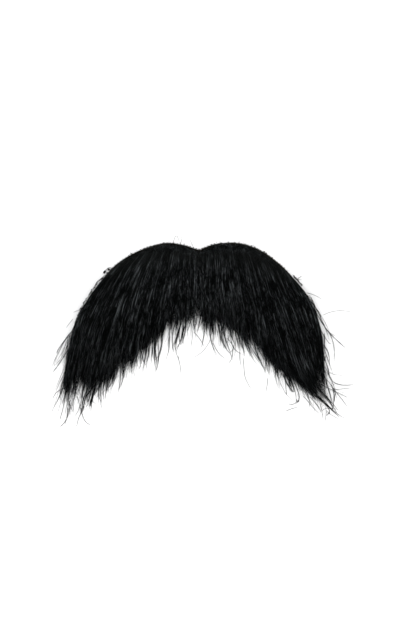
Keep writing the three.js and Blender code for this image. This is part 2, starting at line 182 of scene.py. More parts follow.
# Wisps that the photograph shows below the mass and beside it, by its pixels: where each leaves the mass, passes
# and ends, how high it lies where it leaves, in mm, and its number of hairs. A share of one is a finer hair.
SEEN_WISPS = table(
    "x0 y0 x1 y1 x2 y2 lift hairs",
    (
        (309, 297, 316, 311, 324, 324, 2.4, 6), (309, 299, 320, 319, 331, 339, 2.2, 5),
        (308, 296, 314, 307, 319, 320, 2.2, 3), (318, 316, 327, 330, 343, 346, 1.8, 2),
        (327, 330, 332, 343, 333, 359, 1.6, 3), (306, 293, 314, 295, 321, 299, 2.2, 0.85),
        (313, 306, 318, 311, 321, 317, 2.0, 2), (323, 315, 336, 311, 353, 312, 1.8, 0.85),
        (326, 330, 330, 333, 335, 336, 1.6, 0.85), (324, 336, 328, 342, 331, 344, 1.6, 0.85),
        (322, 336, 325, 348, 326, 358, 1.2, 4), (323, 346, 326, 358, 328, 370, 1.0, 3),
        (325, 356, 327, 368, 330, 380, 1.0, 4), (327, 373, 334, 374, 342, 376, 0.9, 0.85),
        (328, 373, 335, 383, 351, 385, 0.9, 2), (334, 389, 342, 389, 350, 388, 0.6, 0.85),
        (333, 388, 340, 397, 347, 406, 0.7, 2), (323, 366, 329, 379, 335, 391, 1.0, 3),
        (334, 388, 335, 395, 334, 401, 0.6, 2), (331, 384, 334, 397, 332, 410, 0.6, 2),
        (322, 366, 327, 380, 329, 394, 1.0, 3), (321, 374, 326, 388, 330, 400, 0.8, 3),
        (313, 378, 322, 391, 331, 401, 0.8, 4), (324, 394, 330, 402, 334, 412, 0.6, 3),
        (300, 376, 314, 393, 324, 404, 0.9, 17), (306, 384, 323, 402, 334, 412, 0.7, 5),
        (310, 386, 327, 405, 344, 422, 0.6, 3), (316, 396, 331, 409, 344, 418, 0.5, 2),
        (318, 397, 328, 408, 329, 414, 0.5, 2), (327, 411, 333, 416, 339, 419, 0.3, 0.85),
        (329, 412, 328, 414, 326, 416, 0.3, 0.85), (303, 396, 311, 405, 319, 414, 0.3, 0.85),
        (320, 404, 322, 412, 322, 421, 0.3, 0.85), (326, 410, 326, 415, 325, 421, 0.3, 0.85),
        (305, 382, 310, 391, 315, 399, 0.7, 6), (302, 382, 307, 391, 310, 398, 0.6, 5),
        (299, 380, 306, 393, 310, 406, 0.6, 4), (291, 378, 296, 394, 298, 408, 0.5, 4),
        (285, 366, 290, 380, 294, 391, 0.8, 15), (280, 362, 287, 380, 291, 392, 0.8, 11),
        (279, 364, 281, 372, 284, 380, 0.6, 7), (280, 383, 285, 392, 292, 401, 0.3, 0.85),
        (289, 404, 294, 404, 298, 400, 0.3, 0.85), (286, 411, 291, 409, 298, 407, 0.3, 0.85),
        (273, 358, 277, 374, 280, 390, 0.8, 9), (270, 356, 273, 364, 275, 372, 0.6, 7),
        (269, 360, 269, 367, 269, 374, 0.3, 0.85), (268, 378, 267, 385, 266, 392, 0.3, 1),
        (264, 346, 268, 357, 271, 368, 0.6, 4), (259, 342, 264, 354, 268, 364, 0.7, 5),
        (252, 338, 259, 354, 266, 366, 0.6, 4), (246, 334, 255, 354, 265, 368, 0.7, 7),
        (241, 332, 248, 350, 258, 366, 0.6, 4), (245, 334, 250, 350, 253, 360, 0.5, 4),
        (243, 358, 245, 375, 251, 390, 0.3, 0.85), (238, 328, 241, 340, 243, 352, 0.6, 5),
        (240, 352, 240, 359, 241, 366, 0.3, 0.85), (231, 322, 238, 342, 245, 356, 0.8, 10),
        (229, 324, 232, 336, 236, 345, 0.6, 5), (234, 345, 232, 356, 229, 364, 0.3, 1),
        (226, 322, 225, 338, 229, 353, 0.6, 4), (227, 338, 233, 347, 229, 353, 0.3, 0.85),
        (222, 316, 222, 334, 226, 350, 0.7, 6), (219, 314, 222, 337, 228, 354, 0.8, 9),
        (216, 324, 219, 338, 219, 350, 0.6, 4), (215, 316, 214, 326, 214, 336, 0.7, 5),
        (212, 318, 212, 331, 214, 342, 0.8, 8), (210, 316, 212, 338, 220, 357, 0.8, 7),
        (213, 343, 218, 352, 225, 359, 0.4, 1), (209, 316, 210, 326, 209, 336, 0.8, 6),
        (208, 312, 206, 326, 208, 340, 0.7, 4), (203, 314, 205, 324, 204, 334, 0.9, 6),
        (202, 312, 204, 328, 203, 345, 0.8, 4), (194, 332, 199, 338, 204, 346, 0.4, 0.85),
        (210, 340, 203, 351, 194, 357, 0.4, 0.85), (197, 312, 196, 320, 196, 328, 0.6, 4),
        (194, 314, 194, 323, 194, 331, 0.6, 4), (192, 322, 192, 335, 191, 349, 0.3, 0.85),
        (192, 314, 189, 323, 187, 332, 0.6, 5), (189, 314, 185, 332, 181, 346, 0.7, 8),
        (187, 312, 182, 331, 181, 347, 0.7, 8), (184, 314, 180, 334, 175, 352, 0.6, 6),
        (181, 314, 180, 332, 176, 350, 0.6, 7), (177, 316, 176, 334, 174, 352, 0.7, 8),
        (176, 338, 176, 350, 179, 361, 0.4, 0.85), (178, 356, 180, 366, 180, 375, 0.3, 0.85),
        (172, 318, 170, 336, 171, 352, 0.4, 4), (170, 336, 169, 348, 166, 360, 0.3, 0.85),
        (165, 322, 163, 334, 162, 346, 0.6, 5), (162, 328, 161, 345, 161, 361, 0.6, 5),
        (160, 330, 159, 346, 157, 362, 0.6, 7), (158, 334, 156, 350, 156, 367, 0.6, 7),
        (155, 334, 154, 352, 153, 371, 0.6, 7), (153, 334, 152, 348, 152, 363, 0.6, 8),
        (149, 340, 148, 354, 147, 368, 0.5, 6), (147, 342, 146, 354, 145, 367, 0.5, 4),
        (145, 340, 144, 355, 143, 371, 0.5, 6), (142, 342, 141, 353, 140, 363, 0.5, 6),
        (139, 346, 138, 358, 139, 370, 0.5, 6), (136, 350, 135, 358, 134, 368, 0.6, 5),
        (132, 354, 131, 364, 131, 374, 0.5, 4), (131, 350, 128, 362, 126, 372, 0.5, 7),
        (128, 354, 125, 366, 123, 378, 0.6, 9), (123, 356, 120.5, 378, 115.5, 393, 0.7, 6),
        (120, 360, 116, 370, 113, 381, 0.6, 8), (118, 362, 115, 374, 111, 388, 0.5, 7),
        (114, 366, 111, 379, 108, 394, 0.6, 8), (112, 370, 108, 381, 106, 391, 0.6, 8),
        (109, 374, 105, 387, 103, 398, 0.6, 9), (105, 376, 102, 388, 100, 402, 0.6, 10),
        (102, 376, 99, 388, 97, 401, 0.6, 10), (101, 396, 101, 403, 102, 409, 0.3, 0.85),
        (99, 376, 93, 395, 90, 409, 0.7, 9), (97, 378, 92, 394, 91, 404, 0.7, 9),
        (95, 380, 88, 396, 85, 408, 0.7, 8), (93, 374, 87, 396, 82, 412, 0.8, 9),
        (90, 374, 85, 396, 82, 414, 0.8, 10), (84, 376, 82, 390, 81, 402, 0.7, 6),
        (81, 404, 78, 411, 75, 416, 0.4, 1), (84, 406, 80, 416, 76, 426, 0.4, 1),
        (81, 408, 84, 419, 90, 425, 0.4, 1), (83, 378, 79, 389, 76, 399, 0.7, 5),
        (78, 380, 77, 390, 76, 397, 0.7, 4), (75, 378, 74, 390, 74, 400, 0.7, 5),
        (74, 398, 73, 405, 74, 411, 0.4, 0.85), (77, 396, 79, 403, 79, 409, 0.4, 0.85),
        (75, 374, 71, 388, 70, 398, 0.8, 7), (73, 366, 68, 392, 68, 415, 0.9, 9),
        (72, 374, 68, 390, 66, 404, 0.8, 6), (69, 398, 70, 406, 74, 412, 0.5, 3),
        (68, 408, 67, 418, 61, 426, 0.4, 2), (68, 404, 67, 416, 65, 424, 0.4, 1),
        (68, 378, 64, 396, 58, 420, 0.6, 4), (68, 376, 64, 392, 62, 404, 0.7, 6),
        (69, 364, 63, 384, 58, 400, 0.9, 9), (69, 362, 62, 386, 53, 411, 0.9, 4),
        (63, 389, 57, 392, 53, 398, 0.6, 1), (65, 366, 60, 378, 55, 390, 0.6, 0.85),
        (65, 372, 60, 382, 56, 391, 0.5, 0.85), (68, 350, 61, 361, 54, 371, 1.0, 2),
        (70, 340, 62, 353, 54, 368, 1.2, 4), (71, 334, 63, 347, 58, 357, 1.4, 7),
        (73, 330, 62, 348, 50, 369, 1.4, 5), (80, 309, 77, 311, 73, 312, 0.6, 1),
        (73, 319, 69, 324, 66, 328, 0.8, 0.85), (295, 277, 298, 279, 302, 280, 1.0, 0.85),
        (297, 280, 300, 277, 302, 276, 1.0, 0.85), (173, 244, 176, 236, 179, 241, 1.4, 0.75),
        (180, 244, 182, 239, 181, 236, 1.2, 0.65), (193, 246, 191, 242, 190, 240, 1.2, 0.65),
        (113, 269, 109, 268, 104, 272, 0.5, 2), (107, 276, 104, 276, 102, 279, 0.5, 2),
        (296, 399, 298, 402, 299, 400, 0.4, 1), (324, 374, 328, 388, 332, 402, 0.8, 2),
        (323, 375, 331, 386, 335, 398, 0.9, 3), (316, 386, 327, 398, 337, 413, 0.7, 2),
        (322, 392, 328, 401, 334, 408, 0.6, 2), (326, 396, 332, 403, 338, 410, 0.5, 2),
        (314, 390, 324, 401, 333, 410, 0.6, 2),
        (320, 330, 325, 341, 327, 352, 1.2, 3), (322, 344, 327, 354, 328, 364, 1.1, 3),
        (322, 411, 329, 408, 336, 410, 0.3, 0.85), (310, 397, 317, 405, 321, 412, 0.4, 2),
    ),
)

# Loose knots of net thread that the photograph shows, by their pixels and their radius in mm
SEEN_KNOTS = table(
    "x y size",
    (
        (104.8, 271.7, 0.64), (104.2, 272.6, 0.52), (108.8, 269.5, 0.56), (111.5, 270.3, 0.50),
        (107.2, 273.2, 0.50), (102.3, 278.2, 0.56), (81.0, 308.5, 0.54), (83.5, 308.0, 0.46),
        (79.0, 313.0, 0.40), (296.5, 401.0, 0.16), (298.6, 401.0, 0.14),
    ),
)


def through(values, share):
    """Evenly spaced values read at shares from 0 to 1. Between two values it is the cubic whose slope at each
    is half the step from the value before it to the one after it."""
    values = np.asarray(values, float)
    ends = np.concatenate([2 * values[:1] - values[1:2], values, 2 * values[-1:] - values[-2:-1]])
    place = np.clip(share, 0, 1) * (len(values) - 1)
    first = np.minimum(place.astype(int), len(values) - 2)
    way = place - first
    a, b, c, d = (ends[first + k] for k in range(4))
    return b + 0.5 * way * (c - a + way * (2 * a - 5 * b + 4 * c - d + way * (3 * (b - c) + d - a)))


def ease(x):
    """A smooth step: 0 up to 0, 1 from 1 on, and 3 x squared less 2 x cubed between."""
    x = np.clip(x, 0, 1)
    return x * x * (3 - 2 * x)


def unit(v):
    return v / np.maximum(np.linalg.norm(v, axis=-1, keepdims=True), 1e-12)


COMB_ROWS = 401
NET_STEPS = 121


class Wing:
    """One wing's hair lines, as arrays over u, which runs from 0 at the parting to 1 at the outer lock."""

    def __init__(self, side, span, drop, edge, lines, net_width):
        u = np.linspace(0, 1, COMB_ROWS)
        self.side = side
        self.u = u

        def place(out, down):
            return np.stack([PARTING_X + side * out * span, CREST_Y - down * drop], -1)

        self.edge = place(through(edge["out"], u), through(edge["down"], u))
        steps = np.linalg.norm(np.diff(self.edge, axis=0), axis=1)
        self.along = np.concatenate([[0], np.cumsum(steps)])
        self.widths = through(edge["net"], u) * net_width
        start = through(lines["start"], u) * self.along[-1]
        self.root = np.stack([np.interp(start, self.along, self.edge[:, k]) for k in (0, 1)], -1)
        middle = place(through(lines["mid_out"], u), through(lines["mid_down"], u))
        self.tip = place(through(lines["tip_out"], u), through(lines["tip_down"], u))
        self.bend = 2 * middle - (self.root + self.tip) / 2
        self.length = np.linalg.norm(middle - self.root, axis=1) + np.linalg.norm(self.tip - middle, axis=1)
        self.full = through(lines["full"], u)
        self.flick = side * through(lines["flick"], u) * MM
        self.net = self._net_shares()
        room = np.linalg.norm(np.gradient(middle, axis=0), axis=1)
        room += np.linalg.norm(np.gradient(self.tip, axis=0), axis=1)
        self.crowd = np.cumsum(room) / room.sum()

    def _net_shares(self):
        """How far each hair line stays over the net: the last share of it that is nearer to the edge than the
        net is wide there, evened out by a running mean."""
        t = np.linspace(0, 1, NET_STEPS)
        points = self.points(self.u[:, None], t[None])
        away = np.empty(points.shape[:2])
        near = np.empty(points.shape[:2], int)
        for k in range(0, COMB_ROWS, 20):
            gaps = np.linalg.norm(points[k : k + 20, :, None] - self.edge[None, None], axis=-1)
            near[k : k + 20] = gaps.argmin(-1)
            away[k : k + 20] = gaps.min(-1)
        over = (away <= self.widths[near]) & (near < COMB_ROWS - 1)
        last = np.where(over, np.arange(NET_STEPS), 0).max(1) / (NET_STEPS - 1)
        window = np.ones(41) / 41
        return np.convolve(np.pad(last, 20, "edge"), window, "valid")

    def read(self, values, u):
        """One of the wing's arrays at any u."""
        return np.interp(u, self.u, values)

    def points(self, u, t, aside=0.0):
        """The points at shares t of the hair lines at u, moved aside by a distance square to the line. The
        line is a parabola: root (1 - t) squared, plus bend 2 t (1 - t), plus tip t squared."""
        root, bend, tip = (
            np.stack([self.read(v[:, k], u) for k in (0, 1)], -1) for v in (self.root, self.bend, self.tip)
        )
        t = np.asarray(t)[..., None]
        place = root * (1 - t) ** 2 + bend * 2 * t * (1 - t) + tip * t * t
        ahead = unit((bend - root) * (1 - t) + (tip - bend) * t)
        return place + np.stack([-ahead[..., 1], ahead[..., 0]], -1) * np.asarray(aside)[..., None]


def mesh_piece(name, points, quads, triangles, uv=None):
    """A smooth mesh object from arrays: its points, its faces of four and of three, and a place on the bake
    map for each corner, quads first."""
    mesh = bpy.data.meshes.new(name)
    corners = np.concatenate([quads.ravel(), triangles.ravel()])
    sizes = np.concatenate([np.full(len(quads), 4), np.full(len(triangles), 3)])
    mesh.vertices.add(len(points))
    mesh.vertices.foreach_set("co", np.asarray(points, np.float32).ravel())
    mesh.loops.add(len(corners))
    mesh.loops.foreach_set("vertex_index", corners.astype(np.int32))
    mesh.polygons.add(len(sizes))
    mesh.polygons.foreach_set("loop_start", (np.cumsum(sizes) - sizes).astype(np.int32))
    mesh.polygons.foreach_set("use_smooth", np.ones(len(sizes), bool))
    mesh.update(calc_edges=True)
    mesh.validate()
    if uv is not None:
        layer = mesh.uv_layers.new(name="OFBake")
        layer.data.foreach_set("uv", uv.astype(np.float32).ravel())
    obj = bpy.data.objects.new(name, mesh)
    bpy.context.scene.collection.objects.link(obj)
    return obj


TONES = 64


def tubes(paths, radii, sides, tone=None):
    """Closed tubes, all at once: a round section of that many sides is carried along each path, square to
    it, with a flat cap at each end. paths has the shape (tubes, points, 3) and radii (tubes, points). Returns
    points, quads, triangles and, where each tube has a tone from 0 to 1, its place on the bake map: the tone
    across and the way along the tube up."""
    count, steps = radii.shape
    ahead = unit(np.gradient(paths, axis=1))
    lean = np.where(np.abs(ahead[..., 2:]) > 0.9, [1.0, 0.0, 0.0], [0.0, 0.0, 1.0])
    across = unit(np.cross(ahead, lean))
    above = np.cross(across, ahead)
    turn = np.arange(sides) / sides * 2 * np.pi + np.pi / 2
    ring = across[:, :, None] * np.cos(turn)[:, None] + above[:, :, None] * np.sin(turn)[:, None]
    points = (paths[:, :, None] + ring * radii[:, :, None, None]).reshape(-1, 3)
    tube, step, side = np.meshgrid(np.arange(count), np.arange(steps - 1), np.arange(sides), indexing="ij")
    here = (tube * steps + step) * sides + side
    beside = (tube * steps + step) * sides + (side + 1) % sides
    quads = np.stack([here, beside, beside + sides, here + sides], -1).reshape(-1, 4)
    fan = np.arange(1, sides - 1)
    first = np.arange(count)[:, None] * steps * sides
    last = first + (steps - 1) * sides
    start = np.stack([first + 0 * fan, first + fan + 1, first + fan], -1)
    end = np.stack([last + 0 * fan, last + fan, last + fan + 1], -1)
    triangles = np.concatenate([start.reshape(-1, 3), end.reshape(-1, 3)])
    if tone is None:
        return points, quads, triangles, None
    left = (np.floor(tone * (TONES - 1)) + 0.1) / TONES
    step_across = 0.8 / TONES / sides
    x0 = left[tube] + side * step_across
    y0 = step / (steps - 1)
    y1 = (step + 1) / (steps - 1)
    corners = [(x0, y0), (x0 + step_across, y0), (x0 + step_across, y1), (x0, y1)]
    on_sides = np.stack([np.stack(c, -1) for c in corners], -2).reshape(-1, 2)
    cap_x = (left[:, None, None] + np.array([0, 0.8, 0.4]) / TONES) + 0 * fan[None, :, None]
    cap_y = np.array([0, 0, 0.01]) + 0 * cap_x
    caps = np.concatenate(
        [np.stack([cap_x, cap_y], -1).reshape(-1, 2), np.stack([cap_x, 1 - cap_y], -1).reshape(-1, 2)]
    )
    return points, quads, triangles, np.concatenate([on_sides, caps])


def finish_piece(obj, slot, material, *nodes):
    """Gives a piece its material, hangs it on the body and hides the solids that it stands for."""
    obj.data.materials.append(material)
    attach(obj, BODY)
    if nodes:
        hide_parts(*nodes)
    return obj


def crown_height(wing, u, run):
    """The hair's upper surface above the floor: the crown's height at that run, lower where the row is thin."""
    thin = 0.12 + 0.88 * wing.read(wing.full, u)
    return np.interp(run, CROWN["run"], CROWN["height"]) * CROWN_HEIGHT * thin


def run_of(share, net):
    """The run at a share of a hair line: 1 where the line leaves the net and 2 at its tip."""
    return np.where(share < net, share / net, 1 + (share - net) / (1 - net))


def floor_height(run, net_top):
    """The lowest that a hair can lie at that run: on the net, and past it on the floor."""
    return net_top + (0.12 * MM - net_top) * ease((run - 1.02) / 0.16)


def past_fringe(flat, jag):
    """Whether each point lies below the line where the mass of the hair ends. The line is jagged by the sum of
    three sines of the place across."""
    across = PHOTO_PARTING_PX + (flat[..., 0] - PARTING_X) / PHOTO_PIXEL
    down = PHOTO_CREST_PX + (CREST_Y - flat[..., 1]) / PHOTO_PIXEL
    teeth = np.sin(2.17 * across) + np.sin(1.46 * across + 1) + np.sin(0.88 * across + 2)
    return down > np.interp(across, FRINGE["x"], FRINGE["y"]) + jag / PHOTO_PIXEL * teeth


PROBES = 48


def strand_paths(wing, rng, knots, hair, steps):
    """Paths of strands knotted between two shares of the net's width. Returns their points, the way along
    each from 0 to 1, and a tone for each.

    Strands that are knotted beside each other make a wisp, and wisps that end beside each other make a tuft.
    A strand keeps its own u at its knot and closes up to its wisp's middle along the way, and the wisps close
    up to their tuft's middle in the fringe. Sideways, a wisp drifts evenly along the way, bows as a sine, and
    swings out in the fringe as the square of how near its tip is. A strand ends a little past the line where
    the mass of the hair ends, and a few go on further. The height is a share of the room between the floor and
    the crown: the nearer the net's edge a strand is knotted, the higher it lies, and each wisp weaves up and
    down between its neighbours as a sine."""
    count = hair.strands
    place = (np.arange(count) + rng.random(count)) / count
    u = np.interp(place, wing.crowd, wing.u)[:, None]
    rows = max(2, round((knots[1] - knots[0]) * hair.knot_rows))
    row = rng.integers(0, rows, count)
    depth = np.clip((row + 0.5 + rng.normal(0, 0.2, count)) / rows, 0, 1)
    knot = (knots[0] + depth * (knots[1] - knots[0]))[:, None]
    net = wing.read(wing.net, u)
    length = wing.read(wing.length, u)
    begin = knot * net

    across, layers, tufts = hair.wisps, hair.layers, hair.tufts
    column = np.clip(((place + rng.normal(0, 0.22 / across, count)) * across).astype(int), 0, across - 1)
    layer = np.clip((depth * layers + rng.normal(0, 0.3, count)).astype(int), 0, layers - 1)
    shape = (across, layers)
    middle = (np.arange(across)[:, None] + 0.5 + rng.uniform(-0.45, 0.45, shape)) / across
    tuft_middle = (np.arange(tufts) + 0.5 + rng.uniform(-0.34, 0.34, tufts)) / tufts
    tuft = np.abs((middle + rng.normal(0, 0.2 / tufts, shape))[..., None] - tuft_middle).argmin(-1)
    wisp = (column, layer)
    wisp_u = np.interp(middle, wing.crowd, wing.u)[wisp][:, None]
    tuft_u = np.interp(tuft_middle, wing.crowd, wing.u)[tuft][wisp][:, None]

    def of_wisp(values):
        return values[wisp][:, None]

    wild = np.where(rng.random(shape) < hair.wildness, 2.6, 1.0)
    drift = of_wisp(rng.normal(0, hair.drift, shape) * wild)
    bow = of_wisp(rng.normal(0, 0.4 * hair.drift, shape) * wild)
    swing = of_wisp(rng.normal(0, hair.swing, shape) * wild + rng.normal(0, 0.5 * MM, tufts)[tuft])
    turns, phase = of_wisp(rng.uniform(0.8, 2.4, shape)), of_wisp(rng.random(shape))
    own = (rng.normal(0, 0.16 * MM, count) * np.where(rng.random(count) < 0.07, 9.0, 1.0))[:, None]
    wave, ripple = rng.uniform(0.6, 2.4, (count, 1)), rng.random((count, 1))
    waviness = hair.waviness * rng.normal(0, 1, (count, 1))
    flank = 0.85 * ease((u - 0.62) / 0.3)
    crossing = of_wisp(rng.normal(0, 1.3 * MM, shape)) * (1 - ease(u / 0.16))
    flick = wing.read(wing.flick, u)

    def flat_path(way):
        """Points on the floor's plane, at ways where 0 is the knot and 1 the hair line's tip."""
        share = begin + (1 - begin) * way
        near = np.clip(1 + (share - 1) * length / hair.fringe, 0, 1.5)
        gather = ease(near * 0.8)
        closing = 0.3 * ease(way * 2) + 0.6 * gather
        line = np.clip(u + (wisp_u - u) * closing + (tuft_u - wisp_u) * 0.3 * gather, 0, 1)
        inset = wing.side * hair.flank_inset * ease((u - 0.5) / 0.25) * (1 - ease(share * 1.8 - 0.3))
        aside = drift * way + swing * near**2 + crossing * ease(way * 3)
        aside = aside + bow * np.sin(2 * np.pi * (turns * way + phase)) * ease(way * 2)
        aside = aside * (1 - flank * (aside * wing.side > 0)) + flick * near**2 + own * way**1.5 - inset
        aside = aside + waviness * np.sin(2 * np.pi * (wave * way + ripple)) * ease(way * 3)
        return wing.points(line, share, aside), share, near, line

    probe = np.linspace(0.3, 1.15, PROBES)[None] + 0 * u
    past = past_fringe(flat_path(probe)[0], hair.jag)
    cross = np.where(past.any(1), probe[0, past.argmax(1)], 1.0)
    reach = hair.thinning * (rng.gamma(2.0, 1.0, shape)[wisp] + rng.gamma(1.0, 1.1, count) - 1)
    reach = reach - np.abs(rng.normal(0, 1.5 * MM, count))
    reach = np.minimum(reach - hair.mass_inset, 8.5 * MM)
    end = np.clip(cross[:, None] + reach[:, None] / length, 0.3, 1.12)
    way = np.linspace(0, 1, steps)[None] ** 0.94
    flat, share, near, line = flat_path(end * way)

    run = run_of(share, net)
    on = np.clip(run, 1e-3, 1)
    rank = np.clip((on - knot) / on, 0, 1)
    rise = of_wisp(rng.normal(0, 0.02, shape)) + rng.normal(0, 0.03, (count, 1))
    weave = np.sin(2 * np.pi * (of_wisp(rng.uniform(1.5, 3.5, shape)) * way + of_wisp(rng.random(shape))))
    own_weave = np.sin(2 * np.pi * (rng.uniform(1.5, 3.5, (count, 1)) * way + rng.random((count, 1))))
    rank = rank + (rise + hair.weave * (0.6 * weave + 0.8 * own_weave)) * ease(way * 4)
    low = floor_height(run, hair.net_top)
    high = crown_height(wing, line, run)
    height = low + np.clip(rank, 0, 1.1) * np.maximum(high - low, 0)
    height = height + np.abs(rng.normal(0, 0.25 * MM, (count, 1))) * near**2
    # Each strand's tone varies at random by wisp and by strand. The glinting share takes the top tones, which the hair
    # material turns into a painted glint.
    tone = 0.36 + 0.08 * rng.normal(0, 1, shape)[wisp] + 0.16 * rng.normal(0, 1, count)
    tone = np.where(rng.random(count) < hair.glinting, rng.uniform(0.85, 1, count), np.clip(tone, 0, 0.8))
    return np.concatenate([flat, height[..., None]], -1), way, tone


def strand_radii(rng, way, count, thickness):
    """Half the strand's thickness: even along most of it, and finer to the tip as the cube of the way."""
    return thickness / 2 * rng.uniform(0.75, 1.2, (count, 1)) * (1 - 0.7 * way**4)


def hair_material(name, hair):
    """Black hair. The bake map's tone picks the colour, and a fine noise along the strand varies it and breaks the
    painted glints into short streaks: the highest tones take a light colour, a painted glint that stands in for the
    shine of single hairs. Near the knot all strands have the root's colour, without painted glints, and towards the tip
    a painted shade makes them darker while the painted glints get brighter."""
    material, nodes, link, shader = new_material(name)
    place = nodes.new("ShaderNodeUVMap")
    place.uv_map = "OFBake"
    split = nodes.new("ShaderNodeSeparateXYZ")
    link(place.outputs["UV"], split.inputs["Vector"])
    stretch = nodes.new("ShaderNodeMapping")
    stretch.inputs["Scale"].default_value = (TONES * 0.9, 11, 1)
    link(place.outputs["UV"], stretch.inputs["Vector"])
    noise = nodes.new("ShaderNodeTexNoise")
    noise.inputs["Scale"].default_value = 1.0
    noise.inputs["Detail"].default_value = 2.0
    link(stretch.outputs["Vector"], noise.inputs["Vector"])
    add = nodes.new("ShaderNodeMath")
    add.operation = "MULTIPLY_ADD"
    link(noise.outputs["Fac"], add.inputs[0])
    add.inputs[1].default_value = 2.2
    link(split.outputs["X"], add.inputs[2])
    # The ramp runs from the deepest colour through the middle one to a light colour that is a painted glint: the
    # highest tones stand in for the shine of single hairs.
    ramp = nodes.new("ShaderNodeValToRGB")
    ramp.color_ramp.elements[0].position = 0.0
    ramp.color_ramp.elements[0].color = (*hair.deepest, 1)
    ramp.color_ramp.elements[1].position = 1.0
    ramp.color_ramp.elements[1].color = (*hair.painted_glint, 1)
    centre = ramp.color_ramp.elements.new(0.55)
    centre.color = (*hair.middle, 1)
    spread = nodes.new("ShaderNodeMapRange")
    # Towards the tip the tones spread apart: the dark strands darken further, a painted shade, and the painted glints
    # get brighter.
    for end, at_middle, at_tip in (("From Min", 1.15, 1.42), ("From Max", 2.38, 2.2)):
        limit = nodes.new("ShaderNodeMapRange")
        limit.inputs["From Min"].default_value = 0.4
        limit.inputs["To Min"].default_value = at_middle
        limit.inputs["To Max"].default_value = at_tip
        link(split.outputs["Y"], limit.inputs["Value"])
        link(limit.outputs["Result"], spread.inputs[end])
    link(add.outputs[0], spread.inputs["Value"])
    link(spread.outputs["Result"], ramp.inputs["Fac"])
    # Painted shade: the colour darkens towards the tip, where the hair lies lower and in shade.
    painted_tip_shade = nodes.new("ShaderNodeMapRange")
    painted_tip_shade.inputs["From Min"].default_value = 0.5
    painted_tip_shade.inputs["From Max"].default_value = 1.0
    painted_tip_shade.inputs["To Min"].default_value = 1.0
    painted_tip_shade.inputs["To Max"].default_value = 0.65
    link(split.outputs["Y"], painted_tip_shade.inputs["Value"])
    shade = nodes.new("ShaderNodeMix")
    shade.data_type = "RGBA"
    shade.blend_type = "MULTIPLY"
    shade.inputs["Factor"].default_value = 1.0
    rooted = nodes.new("ShaderNodeMapRange")
    rooted.inputs["From Max"].default_value = 0.27
    link(split.outputs["Y"], rooted.inputs["Value"])
    root = nodes.new("ShaderNodeMix")
    root.data_type = "RGBA"
    root.inputs["A"].default_value = (*hair.root, 1)
    link(rooted.outputs["Result"], root.inputs["Factor"])
    link(ramp.outputs["Color"], root.inputs["B"])
    link(root.outputs["Result"], shade.inputs["A"])
    link(painted_tip_shade.outputs["Result"], shade.inputs["B"])
    link(shade.outputs["Result"], shader.inputs["Base Color"])
    rough = nodes.new("ShaderNodeMapRange")
    rough.inputs["To Min"].default_value = hair.roughness - 0.08
    rough.inputs["To Max"].default_value = hair.roughness + 0.12
    link(noise.outputs["Fac"], rough.inputs["Value"])
    link(rough.outputs["Result"], shader.inputs["Roughness"])
    shader.inputs["Specular IOR Level"].default_value = 0.018
    return material


def new_material(name):
    """A material with only its shader: (material, its nodes, its link function, the shader)."""
    material = bpy.data.materials.new(name)
    material.use_nodes = True
    nodes = material.node_tree.nodes
    return material, nodes, material.node_tree.links.new, nodes["Principled BSDF"]


def thread_material(name, dark, light, roughness, grain):
    """Twisted thread: two colours mixed by a fine noise in place, and a bump of fibres from a finer one."""
    material, nodes, link, shader = new_material(name)
    place = nodes.new("ShaderNodeTexCoord")
    noise = nodes.new("ShaderNodeTexNoise")
    noise.inputs["Scale"].default_value = grain
    noise.inputs["Detail"].default_value = 4.0
    link(place.outputs["Object"], noise.inputs["Vector"])
    ramp = nodes.new("ShaderNodeValToRGB")
    ramp.color_ramp.elements[0].position = 0.35
    ramp.color_ramp.elements[0].color = (*dark, 1)
    ramp.color_ramp.elements[1].position = 0.68
    ramp.color_ramp.elements[1].color = (*light, 1)
    link(noise.outputs["Fac"], ramp.inputs["Fac"])
    link(ramp.outputs["Color"], shader.inputs["Base Color"])
    fibre = nodes.new("ShaderNodeTexNoise")
    fibre.inputs["Scale"].default_value = grain * 6
    fibre.inputs["Detail"].default_value = 2.0
    link(place.outputs["Object"], fibre.inputs["Vector"])
    bump = nodes.new("ShaderNodeBump")
    bump.inputs["Strength"].default_value = 0.5
    bump.inputs["Distance"].default_value = 0.05 * MM
    link(fibre.outputs["Fac"], bump.inputs["Height"])
    link(bump.outputs["Normal"], shader.inputs["Normal"])
    shader.inputs["Roughness"].default_value = roughness
    shader.inputs["Specular IOR Level"].default_value = 0.2
    return material


def floor_material(colour):
    """A smooth white ground with a very faint cloudiness."""
    material, nodes, link, shader = new_material("white_ground")
    place = nodes.new("ShaderNodeTexCoord")
    noise = nodes.new("ShaderNodeTexNoise")
    noise.inputs["Scale"].default_value = 6.0
    link(place.outputs["Object"], noise.inputs["Vector"])
    ramp = nodes.new("ShaderNodeValToRGB")
    ramp.color_ramp.elements[0].color = (*(0.97 * c for c in colour), 1)
    ramp.color_ramp.elements[1].color = (*colour, 1)
    link(noise.outputs["Fac"], ramp.inputs["Fac"])
    link(ramp.outputs["Color"], shader.inputs["Base Color"])
    shader.inputs["Roughness"].default_value = 0.7
    shader.inputs["Specular IOR Level"].default_value = 0.1
    return material


def length_prop(name, description, metres):
    return bpy.props.FloatProperty(name=name, description=description, default=metres, subtype="DISTANCE")


def colour_prop(name, description, colour):
    return bpy.props.FloatVectorProperty(
        name=name, description=description, default=colour, size=3, subtype="COLOR", min=0, max=1
    )


class MoustacheShape(bpy.types.PropertyGroup):
    """Sizes of the whole moustache."""

    left_span: length_prop("Left span", "From the parting to the tip of the left wing", 62.5 * MM)
    right_span: length_prop("Right span", "From the parting to the tip of the right wing", 57.5 * MM)
    left_drop: length_prop("Left drop", "From the crest down to the left tips", 75.5 * MM)
    right_drop: length_prop("Right drop", "From the crest down to the right tips", 73.5 * MM)
    net_width: length_prop("Net width", "Depth of the net below its edge", 18 * MM)


